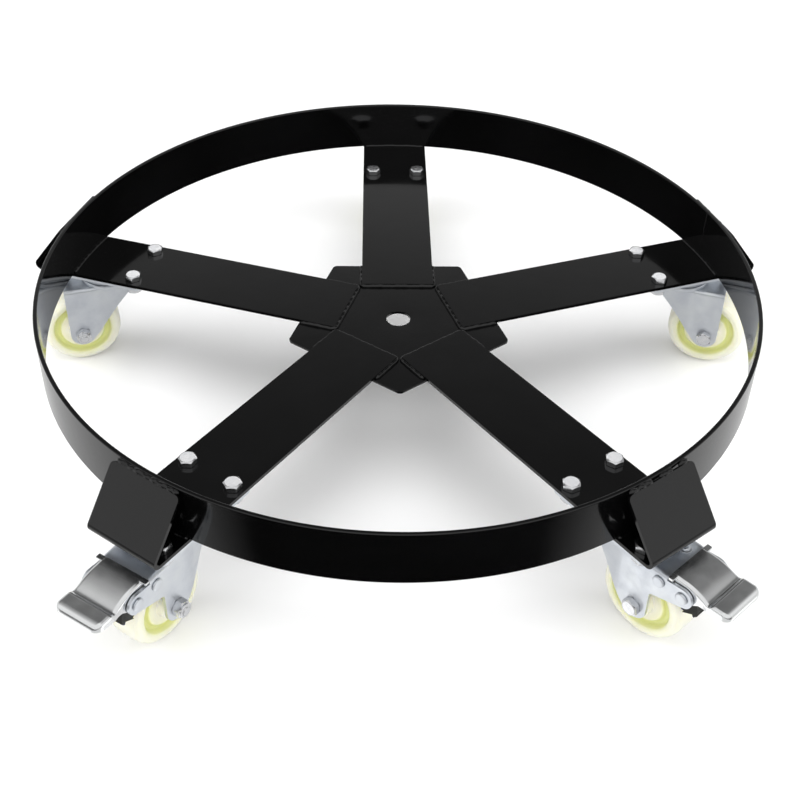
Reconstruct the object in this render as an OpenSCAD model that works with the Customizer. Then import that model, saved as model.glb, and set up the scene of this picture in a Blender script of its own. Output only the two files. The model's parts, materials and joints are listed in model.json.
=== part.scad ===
// Drum dolly: a rolled steel hoop welded to five flat arms, with a swivel caster under each arm.
// Millimetres. +Z is up. The origin is the centre of the middle hole, on the face of the
// centre plate that the arms lie on. One arm points along +Y and the others follow every 72 degrees.

/* [Hoop] */
// Outside diameter of the hoop
hoop_d = 610; // [600:1:630]
// Thickness of the hoop's flat bar
hoop_t = 3.5; // [3:0.5:5]
// Height of the hoop's flat bar, standing on edge
hoop_h = 48; // [44:1:56]

/* [Arms and centre plate] */
// Width of the five flat arms
arm_w = 65; // [64:1:68]
// Thickness of the arms, and of the centre plate under them
arm_t = 3; // [2.5:0.5:3.5]
// Distance from the centre to the inner end of each arm
arm_start = 48; // [47:1:60]
// Lean of the folded toe plates, up from the floor, in degrees
toe_lean = 52.3; // [50:0.1:60]
// Outside radius of the fold at each arm's outer end
toe_bend_r = 6; // [5:0.5:8]
// Distance from the centre to the corners of the five-sided centre plate
plate_r = 100; // [90:1:120]
// Diameter of the hole in the middle of the centre plate
centre_hole_d = 20.6; // [16:0.2:26]

/* [Casters] */
// Distance from the centre to each kingpin
kingpin_r = 283; // [281:1:285]
// Wheel diameter
wheel_d = 72; // [68:1:75]
// Width of the wheel's rim
wheel_w = 29; // [24:1:31]
// Distance from the kingpin's line to the axle
trail = 33; // [31:1:35]
// Depth of the axle below the centre plate's upper face
axle_drop = 63.5; // [63:0.5:66]
// Outside width across the fork's two side plates
fork_w = 45; // [44:1:46]

/* [Caster directions] */
// Direction in which the back caster trails, in degrees from +X
trail_back = 90; // [0:1:359]
// Direction in which the left caster trails
trail_left = 196; // [0:1:359]
// Direction in which the front left caster trails
trail_front_left = 236.7; // [0:0.1:359]
// Direction in which the front right caster trails
trail_front_right = 312; // [0:1:359]
// Direction in which the right caster trails
trail_right = 341; // [0:1:359]

/* [Hidden] */
$fn = 96;
SIDES = 5;
PLACES = ["back", "left", "front_left", "front_right", "right"];
BRAKED = [2, 3];
TRAILS = [trail_back, trail_left, trail_front_left, trail_front_right, trail_right];
function arm_angle(k) = 90 + k * 360 / SIDES;
function all_places(prefix) = [for (p = PLACES) str(prefix, "_", p)];
function braked_places(prefix) = [for (k = BRAKED) str(prefix, "_", PLACES[k])];

eps = 0.01;
painted = [0.07, 0.07, 0.075];
zinc = [0.72, 0.76, 0.80];
bright = [0.82, 0.83, 0.84];
nylon = [0.93, 0.92, 0.78];

// Hoop and toe
hoop_r = hoop_d / 2;
toe_drop = 4.3;
toe_gap = 0.05;
toe_corner_r = 4;
bend_in = toe_bend_r - arm_t;
bend_z = toe_bend_r;
toe_len = (hoop_h + arm_t - toe_drop - bend_z - bend_in * cos(toe_lean)) / sin(toe_lean);
bend_x = hoop_r + toe_gap - bend_in * sin(toe_lean) + toe_len * cos(toe_lean);

// Mounting bolts, M8, four to a caster
bolt_r = 4;
bolt_hole_r = 4.3;
bolt_across = 13;
bolt_head_h = 5.3;
bolt_end = -11;
nut_h = 6.5;
hex_chamfer = 0.9;
bolt_spread_x = 75;
bolt_spread_y = 45;

// Swivel head
top_plate_t = 3;
top_plate_x = 95;
top_plate_y = 65;
top_plate_corner = 5;
race_low = -9.3;
race_top_r = 30.5;
race_low_r = 27;
race_in_r = 15;
ball_r = 2.5;
ball_ring_r = 21;
ball_count = 20;
ball_z = -9.9;
groove_r = 2.6;
low_ball_r = 1.75;
low_ball_ring_r = 10.5;
low_ball_count = 14;
kingpin_shaft_r = 5;
kingpin_flange_r = 14;
kingpin_flange_t = 2.4;
kingpin_head_r = 8;
kingpin_head_h = 2.4;
kingpin_top = -0.4;

// Fork
crown_z = -13;
crown_boss_z = -10.5;
crown_r = 27;
sheet = 2.5;
crown_low = crown_z - sheet;
low_ball_z = crown_low - low_ball_r - 0.05;
flange_z = low_ball_z - low_ball_r - 0.05;
axle_z = -axle_drop;
leg_r = 11.5;
leg_front = trail + leg_r;
nose_x = -27;
flare_x = 15;
flare_end_x = -26;
flare_end_y = 9.5;
fork_hole_r = 4.1;

// Brake: places along the fork from the kingpin's line, and heights
stop_pin = [50.2, -22.6];
pivot = [70.5, -23.7];
brake_web_x = 56.5;
arm_end_r = 8.5;
arch = [46, -40.6];
ear_rest_z = -14.8;
pin_r = 4;
pin_head_r = 5;
pin_head_h = 1.7;
pin_chamfer = 0.7;
pin_play = 0.06;
pedal_t = 2;
pedal_w = 39;
pedal_ear_w = 47;
pedal_ear_len = 4.4;
pedal_start = [57.2, -12.3];
pedal_lip_w = 41;
pedal_lip_start = 92;
pedal_corner_r = 6;
cheek_out = 19.2;
cheek_t = 2;
cheek_r = 7.6;
CHEEK = [[-8.5, 11.4], [5.5, 10.9], [13, 7.2], [14.5, 2.7], [10, -5], [3, -7], [-6, -5]];
shoe_w = 30;
shoe_gap = 4.5;
shoe_tooth = 2;
shoe_step = 2.25;
shoe_boss_r = 7.4;
SHOE = [[-7, -2], [-10.5, -12.3], [-12.5, -16.3], [-0.5, -26.3], [9.5, -20.8], [11, -16.3], [7.3, -1]];
spring_r = 6.2;
spring_w = 14;
spring_wire = 1.6;
spring_leg = 8.5;

// Wheel
wheel_r = wheel_d / 2;
bore_r = 6.06;
sleeve_r = 6;
sleeve_in_r = 4.05;
hub_r = 12;
hub_w = fork_w - 2 * sheet - 1;
disc_r = 22;
disc_w = 25;
groove_out_r = 26.5;
web_w = 12;
rim_corner = 5.5;
axle_nut_h = 7.8;
axle_end = 8.7;

// ---------- shared shapes ----------

// Moves children from the kingpin's own frame, with +X the trailing direction, to caster k.
module at_caster(k) {
    rotate(arm_angle(k)) translate([kingpin_r, 0, 0]) rotate(TRAILS[k] - arm_angle(k)) children();
}

// Extrudes an outline in the x-z plane by w, centred on y = 0.
module slab(w) {
    rotate([90, 0, 0]) translate([0, 0, -w / 2]) linear_extrude(w) children();
}

module round_bar(w, h, r) {
    square([w - 2 * r, h], center = true);
    square([w, h - 2 * r], center = true);
    for (x = [-1, 1], y = [-1, 1]) translate([x * (w / 2 - r), y * (h / 2 - r)]) circle(r);
}

// Hexagon prism from z = 0 up to h, with its upper corners chamfered.
module hexagon(across, h) {
    corner_r = across / 2 / cos(30);
    intersection() {
        cylinder(r = corner_r, h = h, $fn = 6);
        union() {
            cylinder(r = corner_r + 1, h = h - hex_chamfer);
            translate([0, 0, h - hex_chamfer - eps])
                cylinder(r1 = corner_r + 0.1, r2 = across / 2 - 0.5, h = hex_chamfer + eps);
        }
    }
}

// Where a line from point p touches a circle, on the side given by s, 1 or -1.
function touch(p, c, r, s) =
    let (d = p - c, a = atan2(d[1], d[0]) + s * acos(r / norm(d)))
    c + r * [cos(a), sin(a)];

module bolt_places() {
    for (x = [-1, 1], y = [-1, 1]) translate([x * bolt_spread_x / 2, y * bolt_spread_y / 2, 0]) children();
}

// ---------- frame ----------

module hoop() {
    color(painted)
    translate([0, 0, arm_t]) difference() {
        cylinder(r = hoop_r, h = hoop_h, $fn = 180);
        translate([0, 0, -1]) cylinder(r = hoop_r - hoop_t, h = hoop_h + 2, $fn = 180);
    }
}

module centre_plate() {
    color(painted)
    translate([0, 0, -arm_t]) difference() {
        rotate(90 + 180 / SIDES) cylinder(r = plate_r, h = arm_t, $fn = SIDES);
        translate([0, 0, -1]) cylinder(d = centre_hole_d, h = arm_t + 2);
    }
}

// Points of an arc about the fold's centre, in 9 degree steps or less.
function fold_arc(r, from, to) =
    let (n = ceil(abs(to - from) / 9))
    [for (i = [0 : n]) let (a = from + (to - from) * i / n) [bend_x + r * cos(a), bend_z + r * sin(a)]];

// Side view of an arm: the flat, the fold at its outer end, and the toe leaning back to the hoop.
module arm_outline() {
    fold_end = 90 - toe_lean;
    toe_up = toe_len * [-sin(fold_end), cos(fold_end)];
    outer = fold_arc(toe_bend_r, -90, fold_end);
    inner = fold_arc(bend_in, fold_end, -90);
    polygon(concat([[arm_start, 0]], outer, [outer[len(outer) - 1] + toe_up, inner[0] + toe_up],
                   inner, [[arm_start, arm_t]]));
}

// Cuts away a toe's corner, leaving a rounded one. The rounding's centre is at the origin.
module corner_cut() {
    far = toe_corner_r + 1;
    arc = [for (a = [15 : 15 : 75]) toe_corner_r * [cos(a), sin(a)]];
    start = arc[0] + toe_corner_r / 2 * [sin(7.5), -cos(7.5)];
    translate([-1, 0, 0]) rotate([90, 0, 90]) linear_extrude(2 * toe_bend_r)
        polygon(concat([start], arc, [[start[1], start[0]], [start[1], far], [far, far], [far, start[1]]]));
}

module arm(k) {
    color(painted)
    rotate(arm_angle(k)) difference() {
        slab(arm_w) arm_outline();
        translate([kingpin_r, 0, -1]) bolt_places() cylinder(r = bolt_hole_r, h = arm_t + 2);
        translate([bend_x, 0, bend_z]) rotate([0, toe_lean - 90, 0])
            for (side = [0, 1]) mirror([0, side, 0])
                translate([0, arm_w / 2 - toe_corner_r, toe_len - toe_corner_r]) corner_cut();
    }
}

module mounting_bolts() {
    color(bright)
    for (k = [0 : SIDES - 1]) rotate(arm_angle(k)) translate([kingpin_r, 0, 0]) bolt_places() {
        translate([0, 0, bolt_end]) cylinder(r = bolt_r, h = arm_t - bolt_end + eps);
        translate([0, 0, arm_t]) rotate(17 * k) hexagon(bolt_across, bolt_head_h);
    }
}

module mounting_nuts() {
    color(bright)
    for (k = [0 : SIDES - 1]) rotate(arm_angle(k)) translate([kingpin_r, 0, -top_plate_t]) bolt_places()
        difference() {
            mirror([0, 0, 1]) rotate(11 * k) hexagon(bolt_across, nut_h);
            translate([0, 0, -nut_h - 1]) cylinder(r = bolt_r + 0.02, h = nut_h + 2);
        }
}

// ---------- swivel ----------

module top_plate(k) {
    color(zinc)
    rotate(arm_angle(k)) translate([kingpin_r, 0, 0]) difference() {
        union() {
            translate([0, 0, -top_plate_t]) linear_extrude(top_plate_t)
                round_bar(top_plate_x, top_plate_y, top_plate_corner);
            translate([0, 0, race_low])
                cylinder(r1 = race_low_r, r2 = race_top_r, h = -top_plate_t - race_low + eps);
        }
        translate([0, 0, race_low - 1]) cylinder(r = race_in_r, h = -top_plate_t - race_low + 1);
        translate([0, 0, -10]) cylinder(r = kingpin_shaft_r + 0.02, h = 11);
        translate([0, 0, ball_z]) rotate_extrude() translate([ball_ring_r, 0]) circle(groove_r, $fn = 32);
        translate([0, 0, -top_plate_t - 1]) bolt_places() cylinder(r = bolt_hole_r, h = top_plate_t + 2);
    }
}

module kingpin(k) {
    color(zinc)
    rotate(arm_angle(k)) translate([kingpin_r, 0, 0]) {
        translate([0, 0, flange_z]) cylinder(r = kingpin_shaft_r, h = kingpin_top - flange_z);
        translate([0, 0, flange_z - kingpin_flange_t]) cylinder(r = kingpin_flange_r, h = kingpin_flange_t);
        translate([0, 0, flange_z - kingpin_flange_t - kingpin_head_h])
            cylinder(r1 = kingpin_head_r - 2, r2 = kingpin_head_r, h = kingpin_head_h + eps);
    }
}

module swivel_balls(k) {
    color(bright)
    at_caster(k) {
        for (i = [0 : ball_count - 1]) rotate(i * 360 / ball_count)
            translate([ball_ring_r, 0, ball_z]) sphere(ball_r, $fn = 24);
        for (i = [0 : low_ball_count - 1]) rotate(i * 360 / low_ball_count)
            translate([low_ball_ring_r, 0, low_ball_z]) sphere(low_ball_r, $fn = 24);
    }
}

// ---------- fork ----------

// Plan of the fork, from its nose to end_x, narrowing towards the nose. inset pulls in both sides.
module fork_plan(end_x, inset) {
    half = fork_w / 2 - inset;
    slope = atan((fork_w / 2 - flare_end_y) / (flare_x - flare_end_x));
    bend = flare_x + inset * tan(slope / 2);
    nose = half - (bend - flare_end_x + inset) * tan(slope);
    polygon([[end_x, half], [bend, half], [flare_end_x - inset, nose],
             [flare_end_x - inset, -nose], [bend, -half], [end_x, -half]]);
}

// Side view of the leg that reaches down to the axle.
module leg_outline() {
    axle = [trail, axle_z];
    nose = [nose_x, crown_low];
    polygon([[nose_x, crown_z], [leg_front, crown_z], [leg_front, axle_z], axle,
             touch(nose, axle, leg_r, 1), nose]);
    translate(axle) circle(leg_r);
}

// Side view of the brake arm that reaches out past the wheel to the pedal's pivot.
module brake_arm_outline() {
    step = [brake_web_x, ear_rest_z];
    polygon([[nose_x, crown_z], [brake_web_x, crown_z], step, touch(step, pivot, arm_end_r, -1), pivot,
             touch(arch, pivot, arm_end_r, 1), arch, [leg_front, arch[1] - 2.4], [nose_x / 2, crown_low]]);
    translate(pivot) circle(arm_end_r);
}

module fork(k, braked) {
    web_end = braked ? brake_web_x : leg_front;
    plan_end = braked ? pivot[0] + 20 : leg_front;
    color(zinc)
    at_caster(k) difference() {
        union() {
            intersection() {
                translate([0, 0, axle_z - wheel_r])
                    linear_extrude(crown_z - axle_z + wheel_r) difference() {
                        fork_plan(plan_end, 0);
                        fork_plan(plan_end + 1, sheet);
                    }
                slab(fork_w) union() {
                    leg_outline();
                    if (braked) brake_arm_outline();
                }
            }
            translate([0, 0, crown_low]) linear_extrude(sheet) union() {
                intersection() {
                    fork_plan(plan_end, 0);
                    translate([-fork_w, -fork_w]) square([fork_w + web_end, 2 * fork_w]);
                }
                circle(crown_r);
            }
            translate([0, 0, crown_z - eps]) cylinder(r = crown_r, h = crown_boss_z - crown_z + eps);
        }
        translate([0, 0, crown_low - 1]) cylinder(r = kingpin_shaft_r + 0.05, h = 20);
        translate([0, 0, crown_z]) cylinder(r = race_in_r, h = 20);
        translate([0, 0, ball_z]) rotate_extrude() translate([ball_ring_r, 0]) circle(groove_r, $fn = 32);
        translate([trail, 0, axle_z]) rotate([90, 0, 0])
            cylinder(r = fork_hole_r, h = 2 * fork_w, center = true);
        if (braked) for (p = [stop_pin, pivot]) translate([p[0], 0, p[1]]) rotate([90, 0, 0])
            cylinder(r = pin_r + 0.02, h = 2 * fork_w, center = true);
    }
}

// ---------- wheel and axle ----------

module wheel(k) {
    color(nylon)
    at_caster(k) translate([trail, 0, axle_z]) rotate([90, 0, 0]) rotate_extrude() {
        translate([bore_r, -hub_w / 2]) square([hub_r - bore_r, hub_w]);
        translate([hub_r - eps, -disc_w / 2]) square([disc_r - hub_r + eps, disc_w]);
        translate([disc_r - eps, -web_w / 2]) square([groove_out_r - disc_r + 2 * eps, web_w]);
        translate([groove_out_r, -wheel_w / 2]) square([wheel_r - rim_corner - groove_out_r, wheel_w]);
        translate([groove_out_r, rim_corner - wheel_w / 2])
            square([wheel_r - groove_out_r, wheel_w - 2 * rim_corner]);
        for (side = [-1, 1]) translate([wheel_r - rim_corner, side * (wheel_w / 2 - rim_corner)])
            circle(rim_corner);
    }
}

module axle_sleeve(k) {
    color(zinc)
    at_caster(k) translate([trail, 0, axle_z]) rotate([90, 0, 0]) difference() {
        cylinder(r = sleeve_r, h = fork_w - 2 * sheet - 0.1, center = true);
        cylinder(r = sleeve_in_r, h = fork_w, center = true);
    }
}

module axle_bolt(k) {
    color(bright)
    at_caster(k) translate([trail, -fork_w / 2, axle_z]) rotate([-90, 0, 0]) {
        mirror([0, 0, 1]) rotate(10) hexagon(bolt_across, bolt_head_h);
        translate([0, 0, -eps]) cylinder(r = bolt_r, h = fork_w + axle_end - 1 + eps);
        translate([0, 0, fork_w + axle_end - 1]) cylinder(r1 = bolt_r, r2 = bolt_r - 1, h = 1);
    }
}

module axle_nut(k) {
    color(bright)
    at_caster(k) translate([trail, fork_w / 2, axle_z]) rotate([-90, 0, 0]) difference() {
        union() {
            hexagon(bolt_across, axle_nut_h - 1.8);
            cylinder(r = bolt_across / 2 - 0.5, h = axle_nut_h);
        }
        translate([0, 0, -1]) cylinder(r = bolt_r + 0.02, h = axle_nut_h + 2);
    }
}

// ---------- brake ----------

// Points along the middle of the pedal's sheet: each step is [length] or [radius, turn in degrees].
PEDAL_STEPS = [[10], [42, -24], [3.5], [4.5, 66], [3.2, -40], [7.2], [6, -48], [2.8, -36], [0.6]];
function walk(steps, i, p, h) =
    i >= len(steps) ? [] :
    len(steps[i]) == 1
        ? let (q = p + steps[i][0] * [cos(h), sin(h)]) concat([[q, h]], walk(steps, i + 1, q, h))
        : let (r = steps[i][0], t = steps[i][1], s = sign(t), c = p + s * r * [-sin(h), cos(h)],
               n = ceil(abs(t) / 9), arc = [for (j = [1 : n]) let (a = h + t * j / n)
                   [c - s * r * [-sin(a), cos(a)], a]])
          concat(arc, walk(steps, i + 1, arc[n - 1][0], h + t));
pedal_path = concat([[pedal_start, 0]], walk(PEDAL_STEPS, 0, pedal_start, 0));
pedal_tip = pedal_path[len(pedal_path) - 1][0][0] + pedal_t / 2;

module pedal_outline() {
    function side(d) = [for (q = pedal_path) q[0] + d * [-sin(q[1]), cos(q[1])]];
    up = side(pedal_t / 2);
    down = side(-pedal_t / 2);
    polygon(concat(up, [for (i = [len(down) - 1 : -1 : 0]) down[i]]));
}

module pedal_plan() {
    half = pedal_w / 2;
    lip = pedal_lip_w / 2;
    end = pedal_tip - pedal_corner_r;
    polygon([[0, -half], [pedal_lip_start - 8, -half], [pedal_lip_start, -lip], [end, -lip],
        [end, lip], [pedal_lip_start, lip], [pedal_lip_start - 8, half], [0, half]]);
    translate([0, pedal_corner_r - lip]) square([pedal_tip + 1, 2 * (lip - pedal_corner_r)]);
    for (side = [-1, 1])
        translate([end + 0.2, side * (lip - pedal_corner_r)]) circle(pedal_corner_r);
    translate([0, -pedal_ear_w / 2]) square([pedal_start[0] + pedal_ear_len, pedal_ear_w]);
}

// The two cheeks that hang from the sheet and turn on the pivot pin.
module cheek_outline() {
    difference() {
        union() {
            polygon([for (p = CHEEK) pivot + p]);
            translate(pivot) circle(cheek_r);
        }
        translate(pivot) circle(pin_r + pin_play);
    }
}

module brake_pedal(k) {
    color(bright)
    at_caster(k) {
        intersection() {
            slab(pedal_ear_w + 2) pedal_outline();
            translate([0, 0, axle_z]) linear_extrude(axle_drop) pedal_plan();
        }
        for (side = [-1, 1])
            translate([0, side * (cheek_out - cheek_t / 2), 0]) slab(cheek_t) cheek_outline();
    }
}

// Black block between the cheeks, with teeth facing the tread.
module brake_shoe(k) {
    inner = wheel_r + shoe_gap;
    color([0.05, 0.05, 0.05])
    at_caster(k) slab(shoe_w) difference() {
        union() {
            translate(pivot) circle(shoe_boss_r);
            polygon([for (p = SHOE) pivot + p]);
        }
        translate([trail, axle_z]) polygon([for (i = [0 : 39]) let (a = i * shoe_step - 5)
            (inner + (i % 2) * shoe_tooth) * [cos(a), sin(a)], [0, 0]]);
        translate(pivot) circle(pin_r + pin_play);
    }
}

module brake_pins(k) {
    color(bright)
    at_caster(k) for (p = [stop_pin, pivot]) translate([p[0], 0, p[1]]) rotate([90, 0, 0]) {
        cylinder(r = pin_r, h = fork_w + 2 * eps, center = true);
        for (side = [0, 1]) mirror([0, 0, side]) translate([0, 0, fork_w / 2]) {
            cylinder(r = pin_head_r, h = pin_head_h - pin_chamfer);
            translate([0, 0, pin_head_h - pin_chamfer - eps])
                cylinder(r1 = pin_head_r, r2 = pin_head_r - pin_chamfer, h = pin_chamfer + eps);
        }
    }
}

// Envelope of the torsion spring that holds the pedal up, with its leg reaching to the cheeks.
module brake_spring(k) {
    color(zinc)
    at_caster(k) translate([stop_pin[0], 0, stop_pin[1]]) rotate([90, 0, 0]) difference() {
        union() {
            cylinder(r = spring_r, h = spring_w, center = true);
            translate([0, spring_r - spring_wire, spring_w / 2 - spring_wire])
                cube([spring_leg, spring_wire, spring_wire]);
        }
        cylinder(r = pin_r + 0.3, h = spring_w + 2, center = true);
    }
}

// ---------- drawing ----------

hoop();
centre_plate();
mounting_bolts();
mounting_nuts();
for (k = [0 : SIDES - 1]) {
    arm(k);
    top_plate(k);
    kingpin(k);
    fork(k, len(search(k, BRAKED)) > 0);
    swivel_balls(k);
    wheel(k);
    axle_bolt(k);
    axle_nut(k);
    axle_sleeve(k);
}
for (k = BRAKED) {
    brake_pedal(k);
    brake_shoe(k);
    brake_pins(k);
    brake_spring(k);
}
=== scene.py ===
import json
import math
import random

import bmesh
import bpy
import numpy as np
from mathutils import Matrix, Vector

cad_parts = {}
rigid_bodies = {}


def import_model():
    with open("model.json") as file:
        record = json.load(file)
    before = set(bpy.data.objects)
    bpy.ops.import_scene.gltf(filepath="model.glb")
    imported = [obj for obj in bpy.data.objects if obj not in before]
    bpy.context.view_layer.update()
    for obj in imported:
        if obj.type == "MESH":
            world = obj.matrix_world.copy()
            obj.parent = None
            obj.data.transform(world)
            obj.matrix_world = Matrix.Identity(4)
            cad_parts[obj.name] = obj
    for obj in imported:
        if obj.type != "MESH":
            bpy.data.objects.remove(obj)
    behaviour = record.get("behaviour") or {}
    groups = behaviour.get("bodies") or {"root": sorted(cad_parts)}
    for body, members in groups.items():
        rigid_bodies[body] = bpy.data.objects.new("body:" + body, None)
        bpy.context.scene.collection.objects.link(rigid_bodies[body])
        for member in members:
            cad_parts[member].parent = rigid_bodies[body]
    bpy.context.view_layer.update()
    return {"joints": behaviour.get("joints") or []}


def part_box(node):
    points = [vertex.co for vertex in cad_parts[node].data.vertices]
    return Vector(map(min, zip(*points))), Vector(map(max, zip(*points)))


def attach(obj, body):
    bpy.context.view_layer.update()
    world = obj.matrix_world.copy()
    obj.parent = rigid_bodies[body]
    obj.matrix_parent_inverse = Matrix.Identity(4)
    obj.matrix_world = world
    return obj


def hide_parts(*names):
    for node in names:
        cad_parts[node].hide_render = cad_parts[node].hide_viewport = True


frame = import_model()

# Lengths below are millimetres, as in the CAD source, and become metres in add().
# Caster pieces are drawn in the caster's own axes: x is the trailing direction, y runs across, z is up.
MM = 0.001
PLACES = ("back", "left", "front_left", "front_right", "right")
BRAKED = ("front_left", "front_right")
JOINTS = {j["name"]: j for j in frame["joints"]}
RNG = random.Random(7)


def mm_box(node):
    """Corners of a CAD node in millimetres."""
    low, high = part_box(node)
    return low / MM, high / MM


# ---------- sizes, from the frame where it gives them ----------

hoop_low, hoop_high = mm_box("hoop")
HOOP_R = hoop_high.x
HOOP_T = 3.5
ARM_T = hoop_low.z
ARM_W = 65.0
ARM_START = 48.0
PLATE_R = 100.0
PLATE_T = -mm_box("centre_plate")[0].z
HOLE_R = 10.3
TOE_LEAN = math.radians(52.3)
TOE_DROP = 4.3
TOE_R = 6.0
TOE_TOP = mm_box("arm_back")[1].z
pin = Vector(JOINTS["swivel_back"]["pos_m"]) / MM
axle = Vector(JOINTS["wheel_spin_back"]["pos_m"]) / MM
KINGPIN_R = pin.xy.length
TRAIL = (axle - pin).xy.length
AXLE_Z = axle.z
FLOOR_Z = mm_box("wheel_back")[0].z
pivot_joint = Vector(JOINTS["brake_front_left"]["pos_m"]) / MM
pivot_from = Vector(JOINTS["swivel_front_left"]["pos_m"]) / MM
PIVOT = Vector(((pivot_joint - pivot_from).xy.length, pivot_joint.z))
STOP_PIN = PIVOT + Vector((-20.3, 1.1))
CROWN_Z, SHEET, FORK_W, LEG_R = -13.0, 2.5, 45.0, 11.5
NOSE_X, LEG_FRONT, WEB_END = -27.0, TRAIL + 11.5, 56.5


def arm_angle(place):
    return math.pi / 2 + PLACES.index(place) * 2 * math.pi / 5


def arm_matrix(place, out=0.0):
    return Matrix.Rotation(arm_angle(place), 4, "Z") @ Matrix.Translation((out * MM, 0, 0))


def caster_matrix(place):
    start = Vector(JOINTS["swivel_" + place]["pos_m"])
    step = Vector(JOINTS["wheel_spin_" + place]["pos_m"]) - start
    turn = Matrix.Rotation(math.atan2(step.y, step.x), 4, "Z")
    return Matrix.Translation((start.x, start.y, 0)) @ turn


# ---------- mesh tools ----------


def rounded(points, radius, step=12, closed=False):
    """Points of a flat line whose corners are replaced by arcs of the given radius or radii."""
    out, n = [], len(points)
    for i in range(n):
        r = radius[i] if isinstance(radius, (list, tuple)) else radius
        p = Vector(points[i])
        if r <= 0 or (not closed and i in (0, n - 1)):
            out.append(p)
            continue
        u = (Vector(points[i - 1]) - p).normalized()
        v = (Vector(points[(i + 1) % n]) - p).normalized()
        half = u.angle(v) / 2
        centre = p + (u + v).normalized() * r / math.sin(half)
        start = p + u * r / math.tan(half) - centre
        turn = -start.angle_signed(p + v * r / math.tan(half) - centre)
        steps = max(2, math.ceil(abs(turn) / math.radians(step)))
        for j in range(steps + 1):
            c, s = math.cos(turn * j / steps), math.sin(turn * j / steps)
            out.append(centre + Vector((start.x * c - start.y * s, start.x * s + start.y * c)))
    return out


def grid(rows, close_rows=False, close_columns=False):
    """Vertices and faces of a sheet of points, given as rows of equal length."""
    n, m = len(rows), len(rows[0])
    verts = [tuple(p) for row in rows for p in row]
    faces = []
    for i in range(n if close_rows else n - 1):
        for j in range(m if close_columns else m - 1):
            a, b = i * m + j, i * m + (j + 1) % m
            k = (i + 1) % n * m
            faces.append((a, b, k + (j + 1) % m, k + j))
    return verts, faces


def joined(*parts):
    """Several (vertices, faces) as one."""
    verts, faces = [], []
    for v, f in parts:
        faces += [tuple(i + len(verts) for i in face) for face in f]
        verts += list(v)
    return verts, faces


def moved(part, matrix):
    return [tuple(matrix @ Vector(v)) for v in part[0]], part[1]


def mirrored(part):
    """The part and its mirror image across y = 0."""
    flip = [(x, -y, z) for x, y, z in part[0]], [tuple(reversed(f)) for f in part[1]]
    return joined(part, flip)


def lathe(profile, segments, closed=True, shape=None):
    """Turns a profile of (radius, height) round z. shape(r, z, angle) may move its points on the way."""
    rows = []
    for i in range(segments):
        a = 2 * math.pi * i / segments
        row = []
        for r, z in profile:
            q = shape(r, z, a) if shape else (r, z)
            row.append((q[0] * math.cos(a), q[0] * math.sin(a), q[1]))
        rows.append(row)
    return grid(rows, close_rows=True, close_columns=closed)


def tube(points, radii, sides):
    """A closed round bar along points in space, with a radius for each point."""
    points = [Vector(p) for p in points]
    rows, up = [], None
    for i, p in enumerate(points):
        ahead = (points[min(i + 1, len(points) - 1)] - points[max(i - 1, 0)]).normalized()
        if up is None:
            up = ahead.orthogonal().normalized()
        up = (up - ahead * up.dot(ahead)).normalized()
        side = ahead.cross(up)
        rows.append(
            [
                p + radii[i] * (math.cos(t) * up + math.sin(t) * side)
                for t in (2 * math.pi * j / sides for j in range(sides))
            ]
        )
    verts, faces = grid(rows, close_columns=True)
    for end in (0, len(points) - 1):
        ring = [end * sides + j for j in range(sides)]
        verts.append(tuple(points[end]))
        centre = len(verts) - 1
        for j in range(sides):
            a, b = ring[j], ring[(j + 1) % sides]
            faces.append((b, a, centre) if end == 0 else (a, b, centre))
    return verts, faces


def prism(near, far):
    """A closed solid between two outlines with the same number of points."""
    n = len(near)
    faces = [tuple(range(n)), tuple(range(2 * n - 1, n - 1, -1))]
    faces += [(i, (i + 1) % n, n + (i + 1) % n, n + i) for i in range(n)]
    return near + far, faces


def turned(axis_name, angle):
    return Matrix.Rotation(math.radians(angle), 4, axis_name)


def put(name, data):
    """A new object in the scene."""
    obj = bpy.data.objects.new(name, data)
    bpy.context.scene.collection.objects.link(obj)
    return obj


def mesh_of(name, part, merge=0.0):
    """A mesh in metres, with its normals outward and points nearer than merge made one."""
    mesh = bpy.data.meshes.new(name)
    mesh.from_pydata([Vector(v) * MM for v in part[0]], [], part[1])
    bm = bmesh.new()
    bm.from_mesh(mesh)
    if merge:
        bmesh.ops.remove_doubles(bm, verts=bm.verts, dist=merge * MM)
        bmesh.ops.dissolve_degenerate(bm, edges=bm.edges, dist=merge * MM)
    bmesh.ops.recalc_face_normals(bm, faces=bm.faces)
    bm.to_mesh(mesh)
    bm.free()
    return mesh


def add(
    name,
    part,
    material,
    slot,
    body="frame",
    matrix=None,
    replaces=(),
    thickness=0.0,
    bevel=0.0,
    segments=3,
    cutters=(),
    sharp=38,
    merge=0.002,
    own_axes=False,
):
    """Makes one finished piece: thickened, bevelled, cut, shaded, placed and riding on its body."""
    mesh = mesh_of(name, part, merge)
    obj = put(name, mesh)
    if thickness:
        solid = obj.modifiers.new("Solidify", "SOLIDIFY")
        solid.thickness = thickness * MM
        solid.offset = -1
        solid.use_even_offset = True
    if bevel:
        edge = obj.modifiers.new("Bevel", "BEVEL")
        edge.width = bevel * MM
        edge.segments = segments
        edge.limit_method = "ANGLE"
        edge.angle_limit = math.radians(50)
        edge.use_clamp_overlap = True
    for cutter in cutters:
        cut = obj.modifiers.new("Cut", "BOOLEAN")
        cut.object = cutter
        cut.operation = "DIFFERENCE"
        cut.solver = "EXACT"
    finished = obj.evaluated_get(bpy.context.evaluated_depsgraph_get())
    final = bpy.data.meshes.new_from_object(finished)
    obj.modifiers.clear()
    obj.data = final
    bpy.data.meshes.remove(mesh)
    final.name = name
    final.polygons.foreach_set("use_smooth", [True] * len(final.polygons))
    final.set_sharp_from_angle(angle=math.radians(sharp))
    final.materials.clear()
    final.materials.append(material)
    settle(obj, body, matrix, replaces, own_axes)
    return obj


PLACED = {}


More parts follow.
